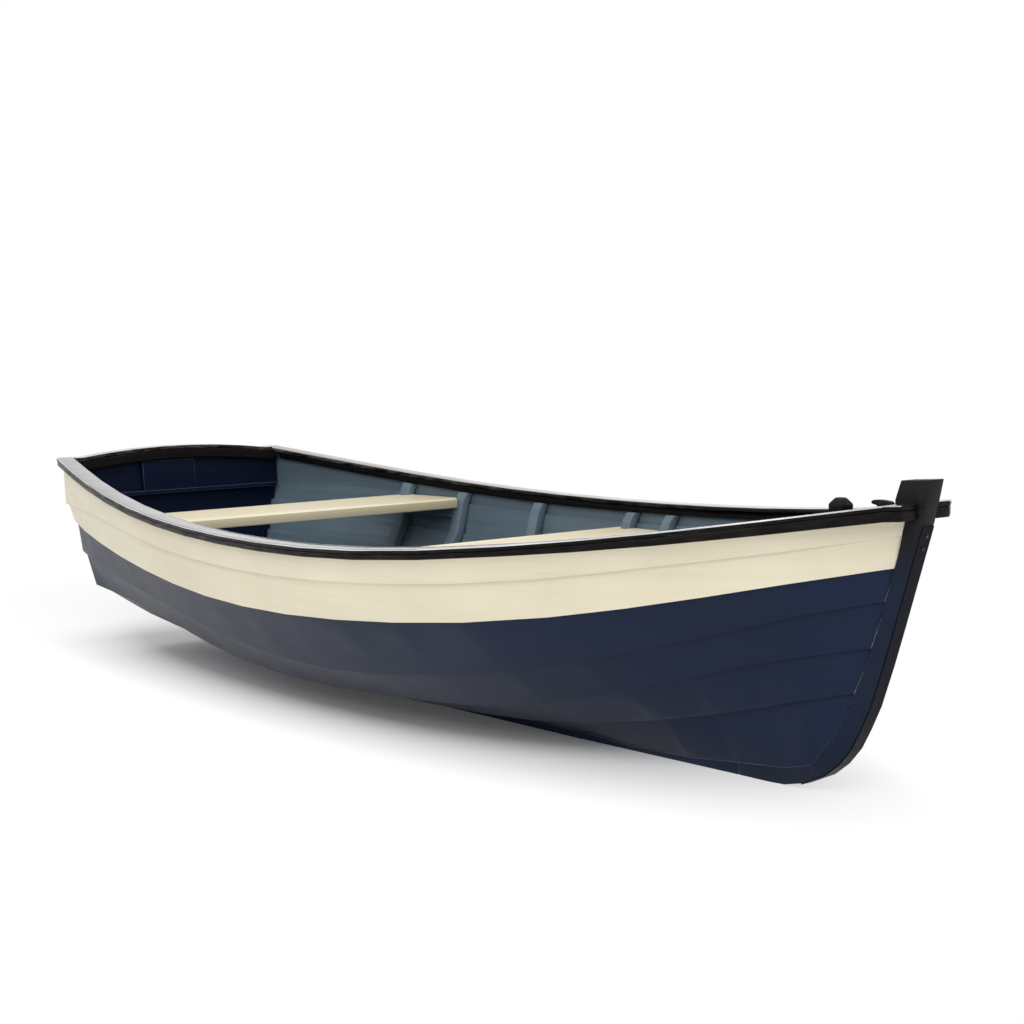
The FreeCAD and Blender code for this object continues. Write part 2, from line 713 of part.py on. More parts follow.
def bottom_board(side):
    """Bottom board that lies on the frames beside the hog."""
    rings = []
    faces = [face for i in BOARD_FRAMES for face in frame_faces(FRAME_SHARES[i])]
    places = [(faces[0] - BOARD_OVERHANG, faces[0])] + [(x, x) for x in faces]
    places.append((faces[-1] + BOARD_OVERHANG, faces[-1]))
    for x, face in places:
        a, b = frame_section(face)[1][:2]
        ring = []
        for y in (BOARD_IN, BOARD_OUT):
            z = a[1] + (b[1] - a[1]) * (y - a[0]) / (b[0] - a[0]) + SEAT
            ring.append((y, z))
        ring += [(y, z + BOARD_T) for y, z in ring[::-1]]
        rings.append([(x, side * y, z) for y, z in ring])
    return loft(rings)


def main():
    os.makedirs("parts", exist_ok=True)
    parts = {}
    for name, s in SIDES.items():
        for k in range(6):
            parts["strake_%d_%s" % (6 - k, name)] = strake(k, s)
        parts["gunwale_cap_" + name] = cap(s)
        parts["rubbing_rail_" + name] = rubbing_rail(s)
        parts["inwale_" + name] = inwale(s)
        parts["bottom_board_" + name] = bottom_board(s)
        for label, share, width, top in THWARTS:
            parts["%s_thwart_cleat_%s" % (label, name)] = thwart_cleat(share * LENGTH, width, top, s)
    for i, share in enumerate(FRAME_SHARES):
        parts["frame_%d" % (i + 1)] = frame(share)
    for label, share, width, top in THWARTS:
        parts["%s_thwart" % label] = thwart(share * LENGTH, width, top)
    parts["keel"] = keel()
    parts["hog"] = hog()
    parts["stem"] = stem()
    parts["apron"] = apron()
    parts["stem_band"] = stem_band()
    parts["stern_knee"] = stern_knee()
    parts["transom"] = transom()
    parts["transom_cap"] = transom_cap()
    parts["transom_beam"] = transom_beam()
    pad_top = crown_z(PAD_WIDTH / 2 - PAD_OFFSET) - BEAM_DEPTH - 1.0
    parts["motor_pad"] = on_transom(PAD_OFFSET, PAD_WIDTH / 2, LEDGE_TOP + 1.0, pad_top, PAD_T)
    parts["transom_ledge"] = on_transom(0.0, LEDGE_HALF, LEDGE_TOP - LEDGE_H, LEDGE_TOP, LEDGE_T)
    parts["breasthook"] = breasthook()
    parts["mooring_bitt"] = bitt()
    parts["bow_cleat"] = horn_cleat()
    boxes = [shape.BoundBox for shape in parts.values()]
    middle = (min(b.XMin for b in boxes) + max(b.XMax for b in boxes)) / 2
    for name, shape in parts.items():
        shape.translate(Vector(-middle, 0, 0))
        shape.exportStep("parts/%s.step" % name)
        print(name, shape.isValid(), len(shape.tessellate(1.0)[1]), round(shape.Volume / 1e3, 1))
    print("moved aft by", middle)


if __name__ == "__main__":
    main()
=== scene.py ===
"""Looks of a clinker rowing skiff: painted planking, black rails, thwarts and bow fittings.

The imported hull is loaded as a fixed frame, and every visible piece is a dressed copy of its own
node or a small piece that sits on one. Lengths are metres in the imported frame: +X is the bow,
+Y is port and +Z is up from the underside of the keel.
"""

from __future__ import annotations

import logging
import math
from abc import ABC, abstractmethod
from dataclasses import dataclass
from enum import Enum

import bmesh
import bpy
from mathutils import Matrix, Vector
from mathutils.bvhtree import BVHTree

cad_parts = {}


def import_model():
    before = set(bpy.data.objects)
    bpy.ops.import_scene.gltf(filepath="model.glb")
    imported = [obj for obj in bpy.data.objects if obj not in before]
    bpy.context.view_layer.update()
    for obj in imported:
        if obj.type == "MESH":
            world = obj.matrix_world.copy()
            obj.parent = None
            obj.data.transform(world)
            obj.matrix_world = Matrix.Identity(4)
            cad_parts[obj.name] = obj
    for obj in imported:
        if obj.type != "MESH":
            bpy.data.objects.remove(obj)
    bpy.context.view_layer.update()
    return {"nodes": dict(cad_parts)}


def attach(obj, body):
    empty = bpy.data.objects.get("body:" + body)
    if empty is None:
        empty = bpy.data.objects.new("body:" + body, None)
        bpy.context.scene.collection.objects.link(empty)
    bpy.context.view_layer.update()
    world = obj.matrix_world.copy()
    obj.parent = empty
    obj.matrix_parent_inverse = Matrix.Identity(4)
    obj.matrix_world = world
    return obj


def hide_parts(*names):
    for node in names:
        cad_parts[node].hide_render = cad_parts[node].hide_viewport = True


Colour = tuple[float, float, float, float]
Span = tuple[float, float]
Triple = tuple[float, float, float]

LOG = logging.getLogger("skiff")
BODY = "root"
MERGE_DISTANCE = 1e-5
FLAT_ANGLE = math.radians(0.4)
EDGE_ANGLE = math.radians(28.0)
CRISP_ANGLE = math.radians(19.0)
TURNED_REACH = 0.8
AHEAD = Vector((1.0, 0.0, 0.0)).freeze()
UP = Vector((0.0, 0.0, 1.0)).freeze()
WHITE = (1.0, 1.0, 1.0, 1.0)


class Side(Enum):
    """The two sides of the boat, with the sign of their +Y direction."""

    STARBOARD = -1
    PORT = 1

    @property
    def label(self) -> str:
        """Name used in the nodes of this side."""
        return self.name.lower()


def placed(name: str, data: bpy.types.ID) -> bpy.types.Object:
    """Return a new object that is linked to the scene.

    Args:
        name: Name of the object.
        data: Its mesh, light or camera.

    Returns:
        The object, at the origin.
    """
    item = bpy.data.objects.new(name, data)
    bpy.context.scene.collection.objects.link(item)
    return item


class Graph:
    """Small helper that grows one material's node graph on Object coordinates."""

    def __init__(self, name: str) -> None:
        """Start an empty material.

        Args:
            name: Name of the material.
        """
        self.material = bpy.data.materials.new(name)
        self.material.use_nodes = True
        self.tree = self.material.node_tree
        self.tree.nodes.clear()
        self.output = self.tree.nodes.new("ShaderNodeOutputMaterial")
        self.coordinates = self.tree.nodes.new("ShaderNodeTexCoord").outputs["Object"]

    def add(self, kind: str, settings: dict | None = None, **inputs: object) -> bpy.types.Node:
        """Add a node, set its properties and feed its inputs.

        Args:
            kind: Blender type name of the node.
            settings: Properties set on the node itself.
            **inputs: Socket values or links, by socket name with spaces as underscores.

        Returns:
            The new node.
        """
        node = self.tree.nodes.new(kind)
        for key, value in (settings or {}).items():
            setattr(node, key, value)
        for key, value in inputs.items():
            self.feed(node, key.replace("_", " "), value)
        return node

    def feed(self, node: bpy.types.Node, socket: str | int, value: object) -> None:
        """Link or set one input socket.

        Args:
            node: Node that owns the socket.
            socket: Socket name or index.
            value: Output socket to link, or a plain value.
        """
        target = node.inputs[socket]
        if isinstance(value, bpy.types.NodeSocket):
            self.tree.links.new(value, target)
        else:
            target.default_value = value

    def stretched(self, scale: Triple) -> bpy.types.NodeSocket:
        """Return Object coordinates stretched by a scale on each axis.

        Args:
            scale: Factors on X, Y and Z.

        Returns:
            The vector socket.
        """
        return self.add("ShaderNodeMapping", Vector=self.coordinates, Scale=scale).outputs[0]

    def along(self, axis: str) -> bpy.types.NodeSocket:
        """Return one Object coordinate.

        Args:
            axis: X, Y or Z.

        Returns:
            The value socket.
        """
        return self.add("ShaderNodeSeparateXYZ", Vector=self.coordinates).outputs[axis]

    def noise(self, vector: bpy.types.NodeSocket, scale: float = 1.0, detail: float = 4.0,
              roughness: float = 0.55) -> bpy.types.NodeSocket:
        """Return the factor of a noise pattern.

        Args:
            vector: Coordinates of the pattern.
            scale: Cells per unit of those coordinates.
            detail: Octaves.
            roughness: Weight of the finer octaves.

        Returns:
            The noise value socket.
        """
        return self.add("ShaderNodeTexNoise", Vector=vector, Scale=scale, Detail=detail,
                        Roughness=roughness).outputs[0]

    def ranged(self, value: bpy.types.NodeSocket, source: Span, low: float = 0.0,
               high: float = 1.0) -> bpy.types.NodeSocket:
        """Return a value remapped from one range to another, clamped.

        Args:
            value: Socket to remap.
            source: Start and end of the source range.
            low: Result at the start.
            high: Result at the end.

        Returns:
            The remapped socket.
        """
        return self.add("ShaderNodeMapRange", Value=value, From_Min=source[0],
                        From_Max=source[1], To_Min=low, To_Max=high).outputs[0]

    def blend(self, factor: object, first: object, second: object) -> bpy.types.NodeSocket:
        """Return two colours mixed by a factor.

        Args:
            factor: Socket or number.
            first: Colour at factor 0.
            second: Colour at factor 1.

        Returns:
            The colour socket.
        """
        node = self.add("ShaderNodeMix", {"data_type": "RGBA"}, Factor=factor, A=first, B=second)
        return node.outputs["Result"]

    def math(self, operation: str, first: object, second: object) -> bpy.types.NodeSocket:
        """Return the result of one math operation on two values.

        Args:
            operation: Blender name of the operation.
            first: First socket or number.
            second: Second socket or number.

        Returns:
            The value socket.
        """
        node = self.add("ShaderNodeMath", {"operation": operation})
        self.feed(node, 0, first)
        self.feed(node, 1, second)
        return node.outputs[0]

    def bump(self, height: bpy.types.NodeSocket, distance: float,
             normal: bpy.types.NodeSocket | None = None) -> bpy.types.NodeSocket:
        """Return a normal tilted by a height pattern.

        Args:
            height: Height from 0 to 1.
            distance: Metres from the lowest to the highest point.
            normal: Normal to start from, if it isn't the surface's own.

        Returns:
            The new normal socket.
        """
        node = self.add("ShaderNodeBump", Height=height, Distance=distance, Strength=1.0)
        if normal is not None:
            self.feed(node, "Normal", normal)
        return node.outputs[0]

    def surface(self, **inputs: object) -> bpy.types.Material:
        """Finish the material with one principled shader.

        Args:
            **inputs: Socket values or links, by socket name with spaces as underscores.

        Returns:
            The finished material.
        """
        return self.close(self.add("ShaderNodeBsdfPrincipled", **inputs))

    def close(self, shader: bpy.types.Node) -> bpy.types.Material:
        """Wire a shader to the output.

        Args:
            shader: Last shader of the graph.

        Returns:
            The finished material.
        """
        self.tree.links.new(shader.outputs[0], self.output.inputs["Surface"])
        return self.material


@dataclass(frozen=True)
class Finish(ABC):
    """Look of a surface, built once and shared by every piece that has it."""

    name: str

    @abstractmethod
    def build(self) -> bpy.types.Material:
        """Return the material of this finish."""


@dataclass(frozen=True)
class Paint(Finish):
    """Colours and sheen that every paint has."""

    base: Colour
    shade: Colour
    streak: Colour
    streak_share: float = 0.25
    streak_depth: float = 0.00018
    roughness: float = 0.36
    roughness_swing: float = 0.10
    coat: float = 0.25
    coat_roughness: float = 0.18
    specular: float = 0.5

    def gloss(self, graph: Graph, pattern: bpy.types.NodeSocket,
              source: Span) -> bpy.types.NodeSocket:
        """Return a roughness that swings about the paint's own with a pattern.

        Args:
            graph: Graph of the material.
            pattern: Pattern that the roughness follows.
            source: Part of the pattern's range that the swing takes up.

        Returns:
            The roughness socket.
        """
        return graph.ranged(pattern, source, self.roughness - self.roughness_swing,
                            self.roughness + self.roughness_swing)

    def coated(self, graph: Graph, colour: bpy.types.NodeSocket, rough: bpy.types.NodeSocket,
               normal: bpy.types.NodeSocket) -> bpy.types.Material:
        """Return the finished material, with the paint's own coat and specular level.

        Args:
            graph: Graph of the material.
            colour: Colour socket.
            rough: Roughness socket.
            normal: Normal socket.

        Returns:
            The finished material.
        """
        return graph.surface(Base_Color=colour, Roughness=rough, Normal=normal,
                             Coat_Weight=self.coat, Coat_Roughness=self.coat_roughness,
                             Specular_IOR_Level=self.specular)


@dataclass(frozen=True)
class BrushedPaint(Paint):
    """Enamel laid on with a brush along the boat, with faint streaks and handling marks.

    The streaks show wear_aft times as strongly at the aft end of wear_span as at its fore end.
    """

    streaks_along: float = 1.6
    streaks_across: float = 75.0
    streak_range: Span = (0.42, 0.72)
    wear_aft: float = 1.0
    wear_span: Span = (-1.3, 0.7)
    clouds: float = 3.1
    cloud_range: Span = (0.36, 0.64)
    marks: Triple = (9.0, 9.0, 26.0)
    mark_range: Span = (0.35, 0.65)
    peel: float = 420.0
    peel_depth: float = 0.00005

    def build(self) -> bpy.types.Material:
        """Return the paint's material."""
        graph = Graph(self.name)
        brush = (self.streaks_along, self.streaks_along, self.streaks_across)
        streaks = graph.noise(graph.stretched(brush), detail=5.0, roughness=0.6)
        clouds = graph.noise(graph.coordinates, self.clouds)
        peel = graph.noise(graph.coordinates, self.peel, detail=2.0)
        marks = graph.noise(graph.stretched(self.marks), detail=6.0, roughness=0.7)
        colour = graph.blend(graph.ranged(clouds, self.cloud_range), self.base, self.shade)
        wear = graph.ranged(graph.along("X"), self.wear_span, self.wear_aft, 1.0)
        fine = graph.ranged(streaks, self.streak_range, 0.0, self.streak_share)
        colour = graph.blend(graph.math("MULTIPLY", fine, wear), colour, self.streak)
        normal = graph.bump(peel, self.peel_depth, graph.bump(streaks, self.streak_depth))
        rough = self.gloss(graph, marks, self.mark_range)
        return self.coated(graph, colour, rough, normal)


@dataclass(frozen=True)
class BoardPaint(Paint):
    """Paint thin enough on a board for the wood's grain to read through it."""

    grain: Colour = (0.45, 0.33, 0.17, 1.0)
    grain_share: float = 0.35
    grain_depth: float = 0.0004
    rings: float = 20.0
    ring_stretch: Triple = (1.0, 0.07, 1.0)
    ring_range: Span = (0.45, 0.95)
    fibres: Triple = (240.0, 7.0, 240.0)
    fibre_range: Span = (0.3, 0.7)
    fibre_floor: float = 0.3
    streak_range: Span = (0.5, 0.8)
    clouds: float = 2.0
    cloud_stretch: Triple = (3.0, 0.8, 3.0)
    cloud_range: Span = (0.35, 0.65)

    def build(self) -> bpy.types.Material:
        """Return the board's material, its grain running athwartships."""
        graph = Graph(self.name)
        clouds = graph.noise(graph.stretched(self.cloud_stretch), self.clouds, detail=3.0)
        rings = graph.add("ShaderNodeTexWave", {"wave_type": "BANDS", "bands_direction": "X"},
                          Vector=graph.stretched(self.ring_stretch), Scale=self.rings,
                          Distortion=3.5, Detail=3.0, Detail_Scale=1.6).outputs["Fac"]
        fibres = graph.noise(graph.stretched(self.fibres), roughness=0.65)
        lines = graph.math("MULTIPLY", graph.ranged(rings, self.ring_range),
                           graph.ranged(fibres, self.fibre_range, self.fibre_floor, 1.0))
        colour = graph.blend(graph.ranged(clouds, self.cloud_range), self.base, self.shade)
        colour = graph.blend(graph.math("MULTIPLY", lines, self.grain_share), colour, self.grain)
        streaks = graph.ranged(fibres, self.streak_range, 0.0, self.streak_share)
        colour = graph.blend(streaks, colour, self.streak)
        normal = graph.bump(fibres, self.streak_depth, graph.bump(lines, self.grain_depth))
        rough = self.gloss(graph, fibres, self.fibre_range)
        return self.coated(graph, colour, rough, normal)


@dataclass(frozen=True)
class FadingPaint(Paint):
    """Paint that changes to a second colour below a height, as on the stem."""

    low_base: Colour = (0.014, 0.022, 0.048, 1.0)
    fade_span: Span = (0.50, 0.60)
    fade_wander: float = 0.03
    streaks: Triple = (60.0, 60.0, 3.0)
    streak_range: Span = (0.45, 0.75)
    clouds: float = 5.0
    cloud_range: Span = (0.35, 0.65)
    gloss_range: Span = (0.35, 0.65)

    def build(self) -> bpy.types.Material:
        """Return the material with its change of colour on the height."""
        graph = Graph(self.name)
        streaks = graph.noise(graph.stretched(self.streaks), detail=5.0, roughness=0.6)
        clouds = graph.noise(graph.coordinates, self.clouds)
        wander = graph.math("MULTIPLY", clouds, self.fade_wander)
        height = graph.math("ADD", graph.along("Z"), wander)
        upper = graph.blend(graph.ranged(clouds, self.cloud_range), self.base, self.shade)
        colour = graph.blend(graph.ranged(height, self.fade_span), self.low_base, upper)
        fine = graph.ranged(streaks, self.streak_range, 0.0, self.streak_share)
        colour = graph.blend(fine, colour, self.streak)
        rough = self.gloss(graph, streaks, self.gloss_range)
        return self.coated(graph, colour, rough, graph.bump(streaks, self.streak_depth))


@dataclass(frozen=True)
class WornMetal(Finish):
    """Metal with a thin dark film that is worn through in places."""

    film: Colour
    bare: Colour
    bare_share: float = 0.3
    rubs: float = 70.0
    rub_middle: float = 0.5
    rub_swing: float = 0.2
    rub_edge: float = 0.06
    grain: float = 600.0
    grain_depth: float = 0.00006
    metallic: float = 0.85
    roughness: float = 0.38
    duller: float = 0.12
    brighter: float = 0.10
    gloss_range: Span = (0.3, 0.7)
    specular: float = 0.5

    def build(self) -> bpy.types.Material:
        """Return the metal's material."""
        graph = Graph(self.name)
        rubs = graph.noise(graph.coordinates, self.rubs, detail=6.0, roughness=0.7)
        grain = graph.noise(graph.coordinates, self.grain, detail=2.0)
        edge = self.rub_middle + self.rub_swing * (1.0 - self.bare_share)
        worn = graph.ranged(rubs, (edge - self.rub_edge, edge + self.rub_edge))
        rough = graph.ranged(rubs, self.gloss_range, self.roughness + self.duller,
                             self.roughness - self.brighter)
        return graph.surface(Base_Color=graph.blend(worn, self.film, self.bare),
                             Roughness=rough, Metallic=self.metallic,
                             Normal=graph.bump(grain, self.grain_depth),
                             Specular_IOR_Level=self.specular)


FINISHES: dict[str, Finish] = {
    "cream": BrushedPaint(
        "cream_enamel", base=(0.770, 0.710, 0.540, 1.0), shade=(0.725, 0.660, 0.490, 1.0),
        streak=(0.61, 0.54, 0.38, 1.0), streak_share=0.22, roughness=0.42, coat=0.12),
    # Lighter cream on the low rounded edges of the cream strakes: a painted highlight.
    "cream_edge": BrushedPaint(
        "cream_enamel_on_edges", base=(0.92, 0.89, 0.77, 1.0), shade=(0.88, 0.84, 0.70, 1.0),
        streak=(0.80, 0.74, 0.58, 1.0), streak_share=0.2, roughness=0.45, coat=0.0),
    "navy": BrushedPaint(
        "navy_enamel", base=(0.0062, 0.0135, 0.037, 1.0), shade=(0.0078, 0.0165, 0.043, 1.0),
        streak=(0.013, 0.022, 0.050, 1.0), streak_depth=0.00007, peel_depth=0.00002,
        roughness=0.38, roughness_swing=0.02, coat=0.0, specular=0.13),
    # Lighter navy on the planks' forward ends, the garboard's low edge and the stem and keel
    # rabbet: a painted highlight.
    "navy_edge": BrushedPaint(
        "navy_enamel_on_edges", base=(0.13, 0.15, 0.20, 1.0), shade=(0.08, 0.10, 0.145, 1.0),
        streak=(0.33, 0.345, 0.38, 1.0), streak_share=0.6, roughness=0.5, coat=0.0,
        specular=0.3),
    # Darker navy on the low lap edges and on the stern timbers' faces that don't look aft:
    # painted shade.
    "navy_painted_shade": BrushedPaint(
        "navy_enamel_painted_shade", base=(0.0026, 0.0052, 0.0175, 1.0),
        shade=(0.0036, 0.0070, 0.0225, 1.0), streak=(0.007, 0.012, 0.032, 1.0),
        streak_share=0.3, streak_depth=0.00007, roughness=0.45, roughness_swing=0.04, coat=0.0,
        specular=0.05),
    # Lighter navy on the stern timbers' rounded edges that look forward: a painted highlight.
    "deep_navy_edge": BrushedPaint(
        "deep_navy_enamel_on_edges", base=(0.020, 0.028, 0.050, 1.0),
        shade=(0.010, 0.015, 0.030, 1.0), streak=(0.075, 0.09, 0.13, 1.0), streak_share=0.7,
        roughness=0.5, coat=0.0, specular=0.3),
    "inside": BrushedPaint(
        "grey_blue_enamel", base=(0.104, 0.147, 0.180, 1.0), shade=(0.084, 0.123, 0.157, 1.0),
        streak=(0.17, 0.22, 0.25, 1.0), streak_share=0.3, roughness=0.45, coat=0.0,
        specular=0.3),
    "black": BrushedPaint(
        "black_enamel", base=(0.0026, 0.0025, 0.0024, 1.0), shade=(0.0042, 0.0038, 0.0034, 1.0),
        streak=(0.17, 0.142, 0.118, 1.0), streak_share=0.05, wear_aft=12.0, streaks_along=20.0,
        streaks_across=110.0, roughness=0.34, roughness_swing=0.06, coat=0.0, specular=0.09),
    "black_dull": BrushedPaint(
        "black_enamel_inboard", base=(0.0028, 0.0026, 0.0026, 1.0),
        shade=(0.0046, 0.0042, 0.0040, 1.0), streak=(0.020, 0.017, 0.015, 1.0),
        roughness=0.42, roughness_swing=0.05, coat=0.0, specular=0.05),
    "black_top": BrushedPaint(
        "black_enamel_on_tops", base=(0.012, 0.012, 0.013, 1.0), shade=(0.018, 0.018, 0.020, 1.0),
        streak=(0.07, 0.068, 0.066, 1.0), streak_share=0.3, streaks_across=20.0,
        streak_depth=0.00006, peel_depth=0.00001, roughness=0.20, coat=0.8, coat_roughness=0.10),
    # Light grey on the caps' outer upper corner: a painted highlight in place of a reflection.
    "painted_highlight": BrushedPaint(
        "rubbed_rail_edge", base=(0.52, 0.52, 0.55, 1.0), shade=(0.38, 0.38, 0.41, 1.0),
        streak=(0.80, 0.80, 0.82, 1.0), streak_share=0.8, streaks_across=60.0, roughness=0.4,
        coat=0.3),
    "stem": FadingPaint(
        "stem_enamel", base=(0.0070, 0.0072, 0.0080, 1.0), shade=(0.011, 0.011, 0.013, 1.0),
        streak=(0.028, 0.031, 0.037, 1.0), streak_share=0.2, roughness=0.38, coat=0.0,
        specular=0.12, low_base=(0.0066, 0.0125, 0.0315, 1.0)),
    "thwart": BoardPaint(
        "thwart_enamel", base=(0.74, 0.67, 0.47, 1.0), shade=(0.70, 0.62, 0.42, 1.0),
        streak=(0.82, 0.77, 0.60, 1.0), streak_share=0.3, roughness=0.42, coat=0.12),
    # Darker copy of the thwart paint for the faces that look ahead: painted shade.
    "thwart_painted_shade": BoardPaint(
        "thwart_enamel_painted_shade", base=(0.60, 0.53, 0.36, 1.0), shade=(0.56, 0.485, 0.315, 1.0),
        streak=(0.70, 0.64, 0.47, 1.0), streak_share=0.3, roughness=0.45, coat=0.0),
    "band": WornMetal(
        "stem_band_metal", film=(0.0028, 0.0036, 0.0080, 1.0), bare=(0.022, 0.024, 0.034, 1.0),
        bare_share=0.15, metallic=0.0, roughness=0.42, specular=0.08),
    "screw": WornMetal(
        "screw_metal", film=(0.035, 0.031, 0.027, 1.0), bare=(0.34, 0.30, 0.25, 1.0),
        bare_share=0.5, metallic=0.7, roughness=0.35),
    "iron": WornMetal(
        "cleat_iron", film=(0.008, 0.008, 0.009, 1.0), bare=(0.05, 0.048, 0.045, 1.0),
        metallic=0.4, roughness=0.4, specular=0.25),
}


class Workshop:
    """Builds the finishes once and turns CAD nodes into dressed pieces."""

    def __init__(self, nodes: dict[str, bpy.types.Object]) -> None:
        """Keep the frame's nodes and build every finish.

        Args:
            nodes: CAD nodes by name.
        """
        self.nodes = nodes
        self.materials = {key: finish.build() for key, finish in FINISHES.items()}

    def copy_of(self, node: str) -> bmesh.types.BMesh:
        """Return a merged copy of a node's mesh with flat runs joined.

        Args:
            node: Name of the CAD node.

        Returns:
            The merged bmesh, in the frame's own place.
        """
        form = bmesh.new()
        form.from_mesh(self.nodes[node].data)
        bmesh.ops.remove_doubles(form, verts=form.verts, dist=MERGE_DISTANCE)
        bmesh.ops.dissolve_limit(form, angle_limit=FLAT_ANGLE, verts=form.verts,
                                 edges=form.edges, use_dissolve_boundaries=False)
        return form

    @staticmethod
    def round_edges(form: bmesh.types.BMesh, width: float,
                    segments: int = 2) -> list[bmesh.types.BMFace]:
        """Bevel every edge that is sharp enough to be one.

        Args:
            form: Mesh to work on.
            width: Bevel width in metres.
            segments: Facets across each bevel.

        Returns:
            The faces of the rounded edges.
        """
        sharp = [edge for edge in form.edges
                 if edge.is_manifold and edge.calc_face_angle() > EDGE_ANGLE]
        made = bmesh.ops.bevel(form, geom=sharp, offset=width, offset_type="OFFSET",
                               segments=segments, profile=0.5, affect="EDGES",
                               clamp_overlap=True, material=-1)
        form.normal_update()
        return list(made["faces"])

    @staticmethod
    def shade(form: bmesh.types.BMesh) -> None:
        """Shade a mesh smooth, with its sharper edges left crisp.

        Args:
            form: Mesh to work on.
        """
        for face in form.faces:
            face.smooth = True
        for edge in form.edges:
            edge.smooth = not edge.is_manifold or edge.calc_face_angle() < CRISP_ANGLE

    def finish(self, form: bmesh.types.BMesh, name: str, slot: str, finishes: list[str],
               stands_for: tuple[str, ...] = ()) -> None:
        """Turn a bmesh into a piece that rides on the hull.

        Args:
            form: Mesh with its material indices set, shaded and freed here.
            name: Name of the piece.
            slot: Material slot of the record; not used.
            finishes: Finish keys, in the order of the faces' material index.
            stands_for: CAD nodes that the piece replaces.
        """
        self.shade(form)
        mesh = bpy.data.meshes.new(name)
        form.to_mesh(mesh)
        form.free()
        piece = placed(name, mesh)
        for key in finishes:
            mesh.materials.append(self.materials[key])
        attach(piece, BODY)
        if stands_for:
            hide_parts(*stands_for)
        LOG.info("piece %s: %d faces", name, len(mesh.polygons))

    def dress(self, node: str, slot: str, finish: str, width: float, segments: int = 2,
              turned: str | None = None, towards: Vector = UP) -> None:
        """Replace a node by its own form with rounded edges and a finish.

        Args:
            node: Name of the CAD node.
            slot: Material slot of the record.
            finish: Finish key.
            width: Edge rounding in metres.
            segments: Facets across each rounding.
            turned: Finish key of the faces that look one way, if they have their own.
            towards: The way that those faces look.
        """
        form = self.copy_of(node)
        self.round_edges(form, width, segments)
        finishes = [finish]
        if turned is not None:
            finishes.append(turned)
            for face in form.faces:
                face.material_index = int(face.normal.dot(towards) > TURNED_REACH)
        self.finish(form, node + "_form", slot, finishes, (node,))


@dataclass
class Assembly(ABC):
    """Part of the boat whose nodes one class dresses."""

    shop: Workshop

    @abstractmethod
    def build(self) -> None:
        """Make every piece of the assembly."""


@dataclass
class Planking(Assembly):
    """Six lapped strakes a side, painted by side and by face."""

    cream_strakes: int = 2
    edges: tuple[float, ...] = (0.0009, 0.0028, 0.0011, 0.0011, 0.0011, 0.0022)
    # Low rounded edges of these strakes take lighter paint as a painted highlight; the other low
    # edges take darker navy as painted shade.
    highlight_low_edges: tuple[int, ...] = (1, 2, 6)
    outward_lean: float = 0.55
    end_turn: float = 0.7

    def build(self) -> None:
        """Dress every strake, with the paint of its side outside and grey-blue inside."""
        for side in Side:
            for number, width in enumerate(self.edges, 1):
                self.strake(number, width, side)

    def strake(self, number: int, width: float, side: Side) -> None:
        """Dress one strake.

        Args:
            number: Strake number, 1 at the sheer.
            width: Edge rounding in metres.
            side: Side of the boat.
        """
        node = f"strake_{number}_{side.label}"
        form = self.shop.copy_of(node)
        outward = Vector((0.0, side.value, -self.outward_lean))
        cream = number <= self.cream_strakes
        slot, paint = ("cream_paint", "cream") if cream else ("navy_paint", "navy")
        # Forward ends of navy strakes and the listed low edges take lighter paint, a painted
        # highlight; the other low lap edges take darker navy, painted shade.
        outer, inner, painted_highlight, shadowed = range(4)
        rounded = self.shop.round_edges(form, width)
        for face in form.faces:
            face.material_index = outer if face.normal.dot(outward) > 0.0 else inner
        for face in rounded:
            if face.normal.dot(outward) <= 0.0:
                continue
            if not cream and face.normal.x > self.end_turn:
                face.material_index = painted_highlight
            elif face.normal.z < 0.0:
                face.material_index = painted_highlight if number in self.highlight_low_edges else shadowed
        finishes = [paint, "inside", paint + "_edge", "navy_painted_shade"]
        self.shop.finish(form, node + "_plank", slot, finishes, (node,))


